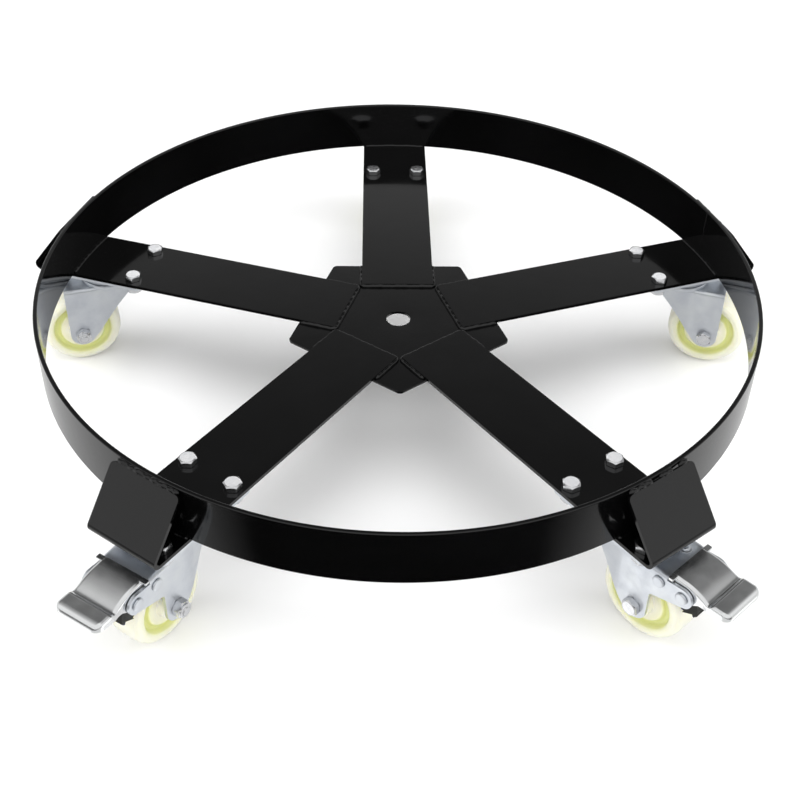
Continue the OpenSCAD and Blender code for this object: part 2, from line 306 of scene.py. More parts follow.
def settle(obj, body, matrix=None, replaces=(), own_axes=False):
    """Puts a piece in its place. Its place goes into its mesh, unless its material needs its own axes."""
    weights = obj.modifiers.new("Normals", "WEIGHTED_NORMAL")
    weights.keep_sharp = True
    PLACED[obj.name] = (matrix or Matrix(), own_axes)
    if matrix is not None and own_axes:
        obj.matrix_world = matrix
    elif matrix is not None:
        obj.data.transform(matrix)
    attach(obj, body)
    if replaces:
        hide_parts(*replaces)


def twin(obj, name, body, matrix, replaces=()):
    """The same piece again at another place."""
    first, own_axes = PLACED[obj.name]
    mesh = obj.data if own_axes else obj.data.copy()
    if not own_axes:
        mesh.transform(first.inverted())
    settle(put(name, mesh), body, matrix, replaces, own_axes)


def at_each(name, part, material, slot, places=PLACES, body="caster_", at=caster_matrix, in_cad=True, **look):
    """The same piece at each of the places, where it replaces the CAD node of the same name, if any."""
    first = None
    for place in places:
        node, matrix = f"{name}_{place}", at(place)
        rides_on = body if body == "frame" else body + place
        replaces = (node,) if in_cad else ()
        if first is None:
            first = add(node + "_look", part, material, slot, rides_on, matrix, replaces, **look)
        else:
            twin(first, node + "_look", rides_on, matrix, replaces)


# ---------- materials ----------


class Nodes:
    """Short calls for building one procedural material."""

    def __init__(self, name):
        self.material = bpy.data.materials.new(name)
        self.material.use_nodes = True
        self.tree = self.material.node_tree
        self.shader = self.tree.nodes["Principled BSDF"]
        self.place = self.add("ShaderNodeTexCoord").outputs["Object"]

    def add(self, kind, **settings):
        node = self.tree.nodes.new(kind)
        for key, value in settings.items():
            setattr(node, key, value)
        return node

    def link(self, source, target):
        self.tree.links.new(source, target)

    def set(self, **values):
        for key, value in values.items():
            self.shader.inputs[key.replace("_", " ")].default_value = value

    def noise(self, scale, detail=3.0, rough=0.5, stretch=(1, 1, 1)):
        mapping = self.add("ShaderNodeMapping")
        mapping.inputs["Scale"].default_value = stretch
        self.link(self.place, mapping.inputs["Vector"])
        node = self.add("ShaderNodeTexNoise")
        node.inputs["Scale"].default_value = scale
        node.inputs["Detail"].default_value = detail
        node.inputs["Roughness"].default_value = rough
        self.link(mapping.outputs["Vector"], node.inputs["Vector"])
        return node.outputs["Fac"]

    def ramp(self, source, stops):
        node = self.add("ShaderNodeValToRGB")
        while len(node.color_ramp.elements) < len(stops):
            node.color_ramp.elements.new(0.5)
        for element, (at, colour) in zip(node.color_ramp.elements, stops):
            element.position = at
            element.color = (*colour, 1)
        self.link(source, node.inputs["Fac"])
        return node.outputs["Color"]

    def range(self, source, low, high, start=0.3, end=0.7):
        node = self.add("ShaderNodeMapRange")
        for key, value in (("From Min", start), ("From Max", end), ("To Min", low), ("To Max", high)):
            node.inputs[key].default_value = value
        self.link(source, node.inputs["Value"])
        return node.outputs["Result"]

    def bump(self, source, strength, distance):
        node = self.add("ShaderNodeBump")
        node.inputs["Strength"].default_value = strength
        node.inputs["Distance"].default_value = distance
        self.link(source, node.inputs["Height"])
        last = self.shader.inputs["Normal"]
        if last.is_linked:
            self.link(last.links[0].from_socket, node.inputs["Normal"])
        self.link(node.outputs["Normal"], last)


def grey(v, tint=(1, 1, 1)):
    return tuple(v * t for t in tint)


def black_paint():
    n = Nodes("black_enamel")
    n.set(IOR=1.42, Coat_Weight=0.35, Coat_Roughness=0.04, Coat_IOR=1.4)
    tint = n.ramp(n.noise(9, 4), [(0.3, grey(0.0011)), (0.7, grey(0.0023, (1, 1, 1.06)))])
    n.link(tint, n.shader.inputs["Base Color"])
    n.link(n.range(n.noise(34, 3), 0.07, 0.14), n.shader.inputs["Roughness"])
    n.bump(n.noise(170, 2), 0.05, 0.0004)
    n.bump(n.noise(28, 2), 0.05, 0.0012)
    return n.material


def zinc_plate():
    n = Nodes("blue_white_zinc")
    n.set(Metallic=1.0)
    cloud = n.noise(42, 5, 0.62)
    tint = n.ramp(
        cloud,
        [(0.3, (0.66, 0.69, 0.74)), (0.5, (0.73, 0.76, 0.80)), (0.72, (0.79, 0.82, 0.84))],
    )
    n.link(tint, n.shader.inputs["Base Color"])
    n.link(n.range(n.noise(130, 4), 0.30, 0.44), n.shader.inputs["Roughness"])
    n.bump(n.noise(900, 3, stretch=(1, 1, 0.25)), 0.06, 0.0002)
    return n.material


def bright_plate():
    n = Nodes("bright_nickel")
    n.set(Metallic=1.0)
    n.link(
        n.ramp(n.noise(30, 4), [(0.3, (0.83, 0.84, 0.85)), (0.7, (0.92, 0.93, 0.93))]),
        n.shader.inputs["Base Color"],
    )
    n.link(n.range(n.noise(95, 4), 0.15, 0.24), n.shader.inputs["Roughness"])
    n.bump(n.noise(600, 2, stretch=(0.3, 1, 1)), 0.03, 0.0002)
    return n.material


def bright_steel():
    n = Nodes("plated_fastener")
    n.set(Metallic=1.0)
    n.link(
        n.ramp(n.noise(160, 4), [(0.3, (0.70, 0.71, 0.73)), (0.7, (0.80, 0.80, 0.81))]),
        n.shader.inputs["Base Color"],
    )
    n.link(n.range(n.noise(420, 4), 0.17, 0.27), n.shader.inputs["Roughness"])
    n.bump(n.noise(1500, 2), 0.05, 0.0001)
    return n.material


def milky_nylon():
    """Cream nylon, with painted shade and a painted glow of light through the nylon in a yellow-green ring
    over the groove on each side of the wheel. The piece's own y axis is the axle.
    """
    n = Nodes("milky_nylon")
    n.set(IOR=1.5, Coat_Weight=0.25, Coat_Roughness=0.12, Subsurface_Scale=0.004)
    n.shader.inputs["Subsurface Weight"].default_value = 0.55
    n.shader.inputs["Subsurface Radius"].default_value = (1.0, 0.9, 0.5)
    split = n.add("ShaderNodeSeparateXYZ")
    n.link(n.place, split.inputs["Vector"])
    flat = n.add("ShaderNodeCombineXYZ")
    n.link(split.outputs["X"], flat.inputs["X"])
    n.link(split.outputs["Z"], flat.inputs["Z"])
    size = n.add("ShaderNodeVectorMath", operation="LENGTH")
    n.link(flat.outputs["Vector"], size.inputs[0])
    across = n.range(size.outputs["Value"], 0.0, 1.0, 0.006, 0.036)
    # The yellow-green band between radius 19 and 27 mm is painted shade in the side grooves and a painted
    # glow of light through the nylon. The cream is the nylon's own colour.
    cream, groove_shade_and_glow = (0.84, 0.83, 0.71), (0.76, 0.78, 0.32)
    tint = n.ramp(
        across,
        [
            (0.20, (0.86, 0.84, 0.73)),
            (0.43, (0.83, 0.82, 0.60)),
            (0.50, groove_shade_and_glow),
            (0.64, groove_shade_and_glow),
            (0.71, (0.82, 0.82, 0.60)),
            (0.84, cream),
        ],
    )
    mix = n.add("ShaderNodeMix", data_type="RGBA", blend_type="MULTIPLY")
    mix.inputs["Factor"].default_value = 1.0
    n.link(tint, mix.inputs["A"])
    n.link(n.ramp(n.noise(55, 4), [(0.3, (0.94, 0.94, 0.92)), (0.7, (1, 1, 1))]), mix.inputs["B"])
    n.link(mix.outputs["Result"], n.shader.inputs["Base Color"])
    n.link(n.range(n.noise(240, 3), 0.28, 0.42), n.shader.inputs["Roughness"])
    n.bump(n.noise(420, 3), 0.05, 0.0003)
    return n.material


def black_plastic():
    n = Nodes("black_plastic")
    n.set(IOR=1.46)
    n.link(
        n.ramp(n.noise(120, 4), [(0.3, (0.010, 0.011, 0.009)), (0.7, (0.022, 0.024, 0.019))]),
        n.shader.inputs["Base Color"],
    )
    n.link(n.range(n.noise(300, 3), 0.38, 0.55), n.shader.inputs["Roughness"])
    n.bump(n.noise(1400, 3), 0.12, 0.0002)
    return n.material


PAINT, ZINC, PLATE = black_paint(), zinc_plate(), bright_plate()
STEEL, NYLON, PLASTIC = bright_steel(), milky_nylon(), black_plastic()


# ---------- frame: hoop, arms, centre plate, welds ----------


def hoop_look():
    inner, low, high = HOOP_R - HOOP_T, hoop_low.z, hoop_high.z
    corners = [(inner, low), (HOOP_R, low), (HOOP_R, high), (inner, high)]
    profile = rounded(corners, 0.9, 18, True)
    add("hoop_look", lathe(profile, 288), PAINT, "black_paint", replaces=("hoop",))


def toe_path():
    """Side view of an arm's lower face, from its inner end to the toe's top, as (distance out, height)."""
    lean = math.pi / 2 - TOE_LEAN
    inner = TOE_R - ARM_T
    reach = (TOE_TOP - TOE_R - TOE_R * math.sin(lean)) / math.cos(lean)
    bend_x = HOOP_R + 0.05 - inner * math.cos(lean) + (
        (hoop_high.z - TOE_DROP - TOE_R - inner * math.sin(lean)) / math.cos(lean)
    ) * math.sin(lean)
    path = [(ARM_START + t * (bend_x - ARM_START), 0.0) for t in (0, 0.01, 0.3, 0.7, 0.97, 1)]
    for i in range(1, 17):
        a = -math.pi / 2 + (math.pi / 2 + lean) * i / 16
        path.append((bend_x + TOE_R * math.cos(a), TOE_R + TOE_R * math.sin(a)))
    x, z = path[-1]
    path += [(x - reach * t * math.sin(lean), z + reach * t * math.cos(lean)) for t in (0.05, 0.5, 0.9)]
    end = (x - reach * math.sin(lean), z + reach * math.cos(lean))
    return path, end


def arm_part():
    path, end = toe_path()
    last = Vector(path[-1])
    run = Vector(end) - last
    corner, half_width = 4.0, ARM_W / 2
    across = (-1, -0.97, -0.5, 0, 0.5, 0.97, 1)
    rows = [[(x, half_width * t, z) for t in across] for x, z in path[:-1]]
    stops = [0.0] + [
        (run.length - corner + corner * math.sin(math.radians(a))) / run.length for a in range(0, 91, 15)
    ]
    for stop in stops:
        p = last + run * stop
        short = run.length * (1 - stop)
        half = half_width
        if short < corner:
            half = half_width - corner + math.sqrt(corner**2 - (corner - short) ** 2)
        rows.append([(p.x, half * t, p.y) for t in across])
    return grid(rows)


def bead(points, radius, pitch, rough):
    """A weld bead along points: a round bar with ripples, run thin at both ends."""
    points = [Vector(p) for p in points]
    length = sum((b - a).length for a, b in zip(points, points[1:]))
    count = max(8, int(length / 0.6))
    marks, radii, centres = [0.0], [], []
    for a, b in zip(points, points[1:]):
        marks.append(marks[-1] + (b - a).length)
    phase = RNG.random() * 6
    wander = RNG.random() * 40
    for i in range(count + 1):
        s = length * i / count
        k = max(j for j in range(len(points) - 1) if marks[j] <= s + 1e-9)
        p = points[k].lerp(points[k + 1], min(1, (s - marks[k]) / max(marks[k + 1] - marks[k], 1e-9)))
        ripple = abs(math.sin(math.pi * s / pitch + phase)) ** 0.6 - 0.6
        slow = math.sin(s * 0.31 + wander) * 0.5 + math.sin(s * 0.83 + wander * 2) * 0.35
        end = min(1.0, math.sqrt(min(s, length - s) / (1.2 * radius) + 0.02))
        size = radius * end * (1 + rough * (0.6 * ripple + slow))
        radii.append(size)
        centres.append(p + Vector((0, 0, 0.12 * radius * slow)))
    return tube(centres, radii, 12)


def centre_plate_look():
    apothem = PLATE_R * math.cos(math.pi / 5)
    edge = 0.7

    def outline(r, z, a):
        """The hole is round. Past it, r is PLATE_R at the five-sided edge and less by the inset from it."""
        if r < PLATE_R / 2:
            return r, z
        turn = (a - math.pi / 2 + math.pi / 5) % (2 * math.pi / 5) - math.pi / 5
        reach = (apothem - (PLATE_R - r)) / math.cos(turn)
        corner = PLATE_R - 1.1 - (PLATE_R - r)
        return min(reach, corner), z

    profile = [
        (HOLE_R, -PLATE_T + edge), (HOLE_R + edge * 0.3, -PLATE_T + edge * 0.3), (HOLE_R + edge, -PLATE_T),
        (30, -PLATE_T), (PLATE_R - edge, -PLATE_T), (PLATE_R - edge * 0.3, -PLATE_T + edge * 0.3),
        (PLATE_R, -PLATE_T + edge), (PLATE_R, -edge), (PLATE_R - edge * 0.3, -edge * 0.3),
        (PLATE_R - edge, 0), (30, 0), (HOLE_R + edge, 0), (HOLE_R + edge * 0.3, -edge * 0.3), (HOLE_R, -edge),
    ]
    part = lathe(profile, 360, True, outline)
    add("centre_plate_look", part, PAINT, "black_paint", replaces=("centre_plate",))


def frame_looks():
    hoop_look()
    centre_plate_look()
    at_each("arm", arm_part(), PAINT, "black_paint", body="frame", at=arm_matrix, thickness=ARM_T, bevel=0.75)
    for place in PLACES:
        parts = arm_welds() + toe_welds(place)
        add(f"welds_{place}", joined(*parts), PAINT, "black_paint", matrix=arm_matrix(place), sharp=70)
    seam_look()


def arm_welds():
    """A weld round an arm's inner end on the plate, and one along each face of the hoop on the arm."""
    plate_edge = PLATE_R * math.cos(math.pi / 5)
    half, corner_r = ARM_W / 2 + 0.5, 3
    around = [(plate_edge - 1.5, half)]
    for i in range(7):
        t = math.radians(15 * i)
        around.append((ARM_START - 0.5 + corner_r * (1 - math.sin(t)), half - corner_r * (1 - math.cos(t))))
    line = [(x, y, 0.5) for x, y in around]
    line += [(x, -y, 0.5) for x, y in reversed(around)]
    out = [bead(line, 2.1, 2.2, 0.03)]
    inner = HOOP_R - HOOP_T
    span = math.asin((ARM_W / 2 - 1.5) / inner)
    for radius in (inner - 0.3, HOOP_R + 0.3):
        turns = np.linspace(-span, span, 15)
        line = [(radius * math.cos(t), radius * math.sin(t), ARM_T + 0.4) for t in turns]
        out.append(bead(line, 1.5, 2.0, 0.12))
    return out


def toe_welds(place):
    """Short runs of weld along the toe's top edge, in the corner that it makes with the hoop."""
    front = {"front_left": [(-29, 30)], "front_right": [(-30, -7), (-1, 13), (19, 29)]}
    runs = front.get(place, [(-28, -6), (2, 27)])
    size, lift = (2.0, 0.3) if place in BRAKED else (1.5, -0.6)
    out = []
    for a, b in runs:
        line = []
        for y in np.linspace(a, b, 14):
            x = math.sqrt(HOOP_R**2 - y * y) + 1.0 + y * y / 1300
            line.append((x, y, TOE_TOP + lift + 0.25 * math.sin(y * 0.9)))
        out.append(bead(line, size, 5.2, 0.16))
    return out


def seam_look():
    """The hoop's butt weld, ground nearly flush, inside and outside."""
    angle = math.radians(18.5)
    parts = []
    for radius in (HOOP_R - HOOP_T + 0.15, HOOP_R - 0.55):
        x, y = radius * math.cos(angle), radius * math.sin(angle)
        line = [(x, y, z) for z in np.linspace(hoop_low.z + 1, hoop_high.z - 1, 9)]
        parts.append(bead(line, 0.65, 2.6, 0.3))
    add("hoop_seam", joined(*parts), PAINT, "black_paint", sharp=70)


# ---------- fasteners ----------

BOLT_X, BOLT_Y = 37.5, 22.5
HEX, BOLT_R = 13.0, 4.0



def hexagon(across, high, washer=0.0, hole=0.0):
    """A hexagon from z = 0 up, with the chamfer's curved corners, on a washer face where one is given."""
    flat = across / 2

    def shape(r, z, a):
        """Radii 1 and 2 in the profile stand for the lower and the upper edge of the six flats."""
        reach = flat / math.cos((a + math.pi / 6) % (math.pi / 3) - math.pi / 6)
        reach = min(reach, flat / math.cos(math.pi / 6) - 0.12)
        if r == 1:
            return reach, z
        if r == 2:
            return reach, high - 0.18 - (reach - flat + 0.45) * math.tan(math.radians(30))
        return r, z

    profile = [(hole, 0.0), (flat - 0.35, 0.0)]
    if washer:
        profile += [(flat - 0.25, washer)]
    profile += [(1, washer + 0.001), (2, 0), (flat - 0.45, high - 0.18), (flat - 0.75, high - 0.02)]
    profile += [(flat - 1.2, high), (hole, high)]
    return lathe(profile, 96, hole > 0, shape)


def thread(radius, low, high, pitch=1.25, top_chamfer=1.0):
    """A threaded stud from low to high, with a chamfered top."""
    depth, rows_per_pitch, sides = 0.55, 7, 32
    rows = max(8, int((high - low) / pitch * rows_per_pitch))
    profile = [(radius, low + (high - low) * i / rows) for i in range(rows + 1)]

    def shape(r, z, a):
        wave = abs(((z / pitch - a / (2 * math.pi)) % 1.0) * 2 - 1)
        end = max(0.0, z - (high - top_chamfer)) * 0.8
        return max(radius - depth * wave - end, radius - top_chamfer), z

    verts, faces = lathe(profile, sides, False, shape)
    verts += [(0, 0, high), (0, 0, low)]
    n = rows + 1
    for i in range(sides):
        a, b = i * n, (i + 1) % sides * n
        faces += [(a + rows, b + rows, len(verts) - 2), (b, a, len(verts) - 1)]
    return verts, faces


def mounting_fasteners():
    heads, nuts = [], []
    for k, place in enumerate(PLACES):
        turn = arm_matrix(place)
        for x in (-BOLT_X, BOLT_X):
            for y in (-BOLT_Y, BOLT_Y):
                at = turn @ Matrix.Translation((KINGPIN_R + x, y, 0))
                on_top = at @ Matrix.Translation((0, 0, ARM_T)) @ turned("Z", 17 * k)
                heads.append(moved(hexagon(HEX, 5.3, 0.4), on_top))
                down = at @ turned("X", 180)
                heads.append(moved(lathe([(0, -1), (3.9, -1), (3.9, 8.6), (0, 8.6)], 24, False), down))
                heads.append(moved(thread(BOLT_R, 8.4, 10.95), down))
                under = at @ Matrix.Translation((0, 0, -3)) @ turned("X", 180) @ turned("Z", 11 * k)
                nuts.append(moved(hexagon(HEX, 6.5, 0, 3.3), under))
    for node, parts in (("mounting_bolts", heads), ("mounting_nuts", nuts)):
        add(node + "_look", joined(*parts), STEEL, "bright_steel", replaces=(node,), sharp=28)


# ---------- swivel head ----------


def top_plate_part():
    """The caster's top plate with the upper ball race under it."""
    half_x, half_y, t = 47.5, 32.5, 3.0
    corners = [(-half_x, -half_y), (half_x, -half_y), (half_x, half_y), (-half_x, half_y)]
    outline = rounded(corners, 5.0, 15, True)
    rings = []
    for inset, z in ((0.6, -t), (0.18, -t + 0.18), (0, -t + 0.6), (0, -0.6), (0.18, -0.18), (0.6, 0)):
        rings.append([(p.x - math.copysign(inset, p.x), p.y - math.copysign(inset, p.y), z) for p in outline])
    verts, faces = grid(rings, close_columns=True)
    n = len(outline)
    faces += [tuple(range(n)), tuple(range(5 * n, 6 * n))]
    race = rounded([(15, -2.8), (15, -9.3), (27, -9.3), (30.5, -3.2), (31.5, -2.8)], [0, 1, 1.4, 1.6, 0], 15)
    return joined((verts, faces), lathe(race, 96))


def kingpin_part():
    """The kingpin with the flange of the lower race and the riveted end."""
    head = rounded([(5, -19), (14, -19.05), (14, -21.4), (8, -21.4), (7, -23.8), (0, -23.8)],
                   [0, 0.6, 0.8, 0.6, 1.2, 0], 15)
    return lathe([(0, -0.4), (5, -0.4), (5, -19)] + head, 64, False)


def balls_part():
    """Twenty balls in the main ring and fourteen smaller ones under the crown."""
    balls = []
    for count, ring, radius, z in ((20, 21, 2.5, -9.9), (14, 10.5, 1.75, CROWN_Z - SHEET - 1.8)):
        half_circle = [(radius * math.sin(t), -radius * math.cos(t)) for t in np.linspace(0, math.pi, 11)]
        ball = lathe(half_circle, 18, False)
        for i in range(count):
            turn = Matrix.Rotation(2 * math.pi * i / count, 4, "Z")
            balls.append(moved(ball, turn @ Matrix.Translation((ring, 0, z))))
    return joined(*balls)


def on_arm(place):
    return arm_matrix(place, KINGPIN_R)


def swivel_looks():
    at_each("swivel_balls", balls_part(), STEEL, "bright_steel", sharp=80)
    at_each("top_plate", top_plate_part(), ZINC, "zinc_plate", body="frame", at=on_arm)
    at_each("kingpin", kingpin_part(), ZINC, "zinc_plate", body="frame", at=on_arm)


# ---------- fork ----------

BEND = 3.6
ARCH_Z = -43.5
ARM_END_R = 8.5
AXLE = Vector((TRAIL, AXLE_Z))


def fork_half(x):
    """Half width of the fork at x: full from x = 15 on, and narrowing to the nose through a soft bend."""
    slope, soft = 13 / 41, 2.2
    t = (15 - x) / soft
    eased = soft * math.log1p(math.exp(-abs(t))) + soft * max(t, 0)
    return FORK_W / 2 - slope * eased


def touch(p, c, r, side):
    """Where a line from p touches the circle at c."""
    d = Vector(p) - c
    a = math.atan2(d.y, d.x) + side * math.acos(r / d.length)
    return c + r * Vector((math.cos(a), math.sin(a)))


def arc(c, r, a, b, n):
    turns = [a + (b - a) * i / n for i in range(n + 1)]
    return [c + r * Vector((math.cos(t), math.sin(t))) for t in turns]


def angle_of(p, c):
    return math.atan2(p.y - c.y, p.x - c.x)


def leg_low():
    """The fork's lower outline from its nose to the leg's front edge."""
    nose = Vector((NOSE_X, CROWN_Z - BEND - 0.7))
    end = touch(nose, AXLE, LEG_R, 1)
    line = []
    for i in range(13):
        t = i / 12
        p = nose.lerp(end, t)
        inward = Vector((end.y - nose.y, nose.x - end.x)).normalized()
        if inward.x < 0:
            inward = -inward
        line.append(p + inward * 2.2 * math.sin(math.pi * t) ** 1.5)
    start = angle_of(end, AXLE)
    if start > 0:
        start -= 2 * math.pi
    return line[:-1] + arc(AXLE, LEG_R, start, 0, 18)


def arm_low():
    arch = Vector((46, -40.6))
    end = touch(arch, PIVOT, ARM_END_R, 1)
    line = rounded([(LEG_FRONT, ARCH_Z), (LEG_FRONT + 0.4, -40.5), end], [0, 1.6, 0], 15)[:-1]
    start = angle_of(end, PIVOT)
    if start > 0:
        start -= 2 * math.pi
    return line + arc(PIVOT, ARM_END_R, start, 0, 14)


def arm_top():
    step = Vector((WEB_END, CROWN_Z - BEND + 0.4))
    end = touch(step, PIVOT, ARM_END_R, -1)
    return [step] + arc(PIVOT, ARM_END_R, angle_of(end, PIVOT), 0, 12)


def fork_row(x, low, split=None):
    """Points across half of the fork at x: web, bend and side, down to low, with one of them at split."""
    half = fork_half(x)
    row = [(x, (half - BEND) * i / 5, CROWN_Z) for i in range(5)]
    for i in range(7):
        a = math.pi / 2 * i / 6
        row.append((x, half - BEND + BEND * math.sin(a), CROWN_Z - BEND + BEND * math.cos(a)))
    top = CROWN_Z - BEND
    if split is None:
        return row + [(x, half, top + (low - top) * i / 4) for i in range(1, 5)]
    row += [(x, half, top + (split - top) * i / 4) for i in range(1, 5)]
    return row + [(x, half, split + (low - split) * i / 5) for i in range(1, 6)]


def fork_part(braked):
    low = leg_low()
    xs = sorted({round(p.x, 4) for p in low} | {4.0, 9.0, 12.0, 14.0, 16.0, 18.0, 21.0})
    lx, lz = [p.x for p in low], [p.y for p in low]
    top = CROWN_Z - BEND
    rows = []
    for x in xs:
        z = float(np.interp(x, lx, lz))
        share = (x - NOSE_X) / (LEG_FRONT - NOSE_X)
        split = max(z, top + (ARCH_Z - top) * share) if x < LEG_FRONT - 0.001 else ARCH_Z
        rows.append(fork_row(x, z, split))
    parts = [grid(rows)]
    if braked:
        below, above = arm_low(), arm_top()
        bx, bz = [p.x for p in below], [p.y for p in below]
        tx, tz = [p.x for p in above], [p.y for p in above]
        near = [x for x in sorted({round(v, 4) for v in bx} | {51.0}) if x < WEB_END] + [WEB_END]
        parts.append(grid([fork_row(x, float(np.interp(x, bx, bz))) for x in near]))
        far = [WEB_END] + [x for x in sorted({round(v, 4) for v in bx + tx}) if x > WEB_END + 0.01]
        plate = []
        for x in far:
            z0, z1 = float(np.interp(x, tx, tz)), float(np.interp(x, bx, bz))
            if x == WEB_END:
                z0 = top
            plate.append([(x, FORK_W / 2, z0 + (z1 - z0) * i / 4) for i in range(5)])
        parts.append(grid(plate))
    return mirrored(joined(*parts))


def crown_part():
    groove = arc(Vector((21, -9.9)), 2.62, math.radians(194), math.radians(346), 8)
    ring = rounded([(5.1, -15.2), (27, -15.2), (27, -10.5), (24.2, -10.5)], [0, 0.9, 1.3, 0], 15)
    profile = ring + groove[::-1]
    profile += [(17.5, -10.5), (15.6, -10.5), (15, -11.1), (15, -13.2), (5.1, -13.2)]
    return lathe(profile, 96)


def bar(radius, x, z, span):
    """A plain round bar along y, used to cut holes and for pins."""
    part = lathe([(0, -span / 2), (radius, -span / 2), (radius, span / 2), (0, span / 2)], 32, False)
    return moved(part, Matrix.Translation((x, 0, z)) @ turned("X", 90))


def fork_looks():
    hole = lathe([(0, -30), (5.3, -30), (5.3, 5), (0, 5)], 48, False)
    cut = [put("cutter", mesh_of("cutter", part)) for part in (hole, bar(4.15, TRAIL, AXLE_Z, 80))]
    plain = tuple(p for p in PLACES if p not in BRAKED)
    look = {"thickness": SHEET, "bevel": 0.45, "cutters": cut}
    at_each("fork", fork_part(False), ZINC, "zinc_plate", plain, **look)
    at_each("fork", fork_part(True), ZINC, "zinc_plate", BRAKED, **look)
    for c in cut:
        bpy.data.objects.remove(c)
    at_each("crown", crown_part(), ZINC, "zinc_plate", in_cad=False)
    stud = rounded([(0, 2.3), (3.2, 2.0), (3.4, 0.6), (5.0, 0.3), (5.2, -0.2), (0, -0.2)],
                   [0, 1.4, 0.5, 0.3, 0, 0], 15)
    part = moved(lathe(stud, 48, False), Matrix.Translation((48, 9.4, CROWN_Z)))
    at_each("web_rivet", part, ZINC, "zinc_plate", ("front_right",), in_cad=False)


# ---------- wheel and axle ----------


def axle_matrix(place):
    return caster_matrix(place) @ Matrix.Translation((TRAIL * MM, 0, AXLE_Z * MM))


def wheel_looks():
    side = [
        (6.06, 19.0), (6.6, 19.5), (11.3, 19.5), (12.0, 18.8), (12.4, 13.2), (13.2, 12.5), (19.0, 12.5),
        (20.0, 11.9), (21.0, 9.9), (22.2, 9.2), (24.4, 9.2), (25.4, 9.9), (26.6, 13.4), (27.8, 14.3),
        (29.6, 14.5), (31.2, 14.35), (33.4, 13.2), (35.0, 11.1), (35.8, 8.0), (36.0, 4.0),
    ]
    profile = side + [(36.0, 0.0)] + [(r, -y) for r, y in reversed(side)]
    soft = rounded(profile, [0.0] + [0.35] * (len(profile) - 2) + [0.0], 25)
    part = moved(lathe(soft, 96), turned("X", 90))
    at_each("wheel", part, NYLON, "nylon", body="wheel_", at=axle_matrix, sharp=50, own_axes=True)
    sleeve = lathe([(4.1, -19.9), (5.9, -19.9), (6.0, -19.6), (6.0, 19.6), (5.9, 19.9), (4.1, 19.9)], 48)
    at = Matrix.Translation((TRAIL, 0, AXLE_Z)) @ turned("X", 90)
    at_each("axle_sleeve", moved(sleeve, at), ZINC, "zinc_plate")


def axle_looks():
    half = FORK_W / 2
    at = Matrix.Translation((TRAIL, -half, AXLE_Z)) @ turned("X", 90)
    back = Matrix.Translation((TRAIL, -half, AXLE_Z)) @ turned("X", -90)
    head = moved(hexagon(HEX, 5.3, 0.5), at @ turned("Z", 10))
    shank = lathe([(0, -0.2), (4, -0.2), (4, 36), (3.4, 36.5), (0, 36.5)], 32, False)
    screw = thread(BOLT_R, 36, FORK_W + 8.6)
    bolt = joined(head, moved(shank, back), moved(screw, back))
    at_each("axle_bolt", bolt, STEEL, "bright_steel", sharp=28)
    nut = hexagon(HEX, 6.2, 0.4, 3.9)
    collar = rounded([(3.9, 5.6), (6.0, 5.6), (6.0, 7.8), (3.9, 7.8)], [0, 0, 0.9, 0.3], 15)
    ring = lathe(collar, 48)
    out = Matrix.Translation((TRAIL, half, AXLE_Z)) @ turned("X", -90) @ turned("Z", 8)
    at_each("axle_nut", moved(joined(nut, ring), out), STEEL, "bright_steel", sharp=28)


# ---------- brake ----------

PEDAL_T = 2.0
PEDAL_START = Vector((57.2, -12.3))
# The pedal's sheet in steps from its start: a straight (length,) or a bend (radius, degrees).
# Step LIP_SLOPE ends the lip's slope, and the steps after it only say how far out the tip is.
PEDAL_STEPS = ((10,), (42, -24), (3.5,), (4.5, 66), (3.2, -40), (7.2,), (6, -48), (2.8, -36), (0.6,))
LIP_SLOPE = 6
PEDAL_HALF, LIP_HALF, LIP_START, LIP_CORNER, PEDAL_ROLL = 19.4, 20.4, 92.0, 6.0, 2.7
EAR_END = PEDAL_START.x + 4.4


def pedal_path():
    """Middle line of the sheet as (point, heading) up to the end of the lip's slope, and the tip's x."""
    p, h = PEDAL_START.copy(), 0.0
    out = [(p.copy(), h)]
    for k, step in enumerate(PEDAL_STEPS):
        if len(step) == 1:
            n = max(1, round(step[0]))
            ahead = Vector((math.cos(h), math.sin(h)))
            out += [(p + ahead * step[0] * (i + 1) / n, h) for i in range(n)]
        else:
            r, turn = step[0], math.radians(step[1])
            s = math.copysign(1, turn)
            c = p + s * r * Vector((-math.sin(h), math.cos(h)))
            n = max(math.ceil(abs(turn) / math.radians(7)), round(r * abs(turn)))
            for i in range(1, n + 1):
                a = h + turn * i / n
                out.append((c - s * r * Vector((-math.sin(a), math.cos(a))), a))
        p, h = out[-1]
        if k == LIP_SLOPE:
            slope_end = len(out)
    return out[:slope_end], out[-1][0].x + PEDAL_T / 2


def pedal_low(x):
    """Height of the pedal's lower edge at x: round the pivot pin, then out along the lip's rim."""
    turns = [math.radians(a) for a in range(180, 325, 8)]
    line = [(60, -16.0), (62.3, -16.8), (62.85, -20.0)]
    line += [(PIVOT.x + 7.6 * math.cos(a), PIVOT.y + 7.6 * math.sin(a)) for a in turns]
    line += [(79.2, -26.2), (82.5, -23.7), (87.5, -22.9), (92.5, -22.8), (97.5, -22.0), (102.0, -21.0)]
    line += [(110.0, -20.2)]
    return float(np.interp(x, [p[0] for p in line], [p[1] for p in line]))


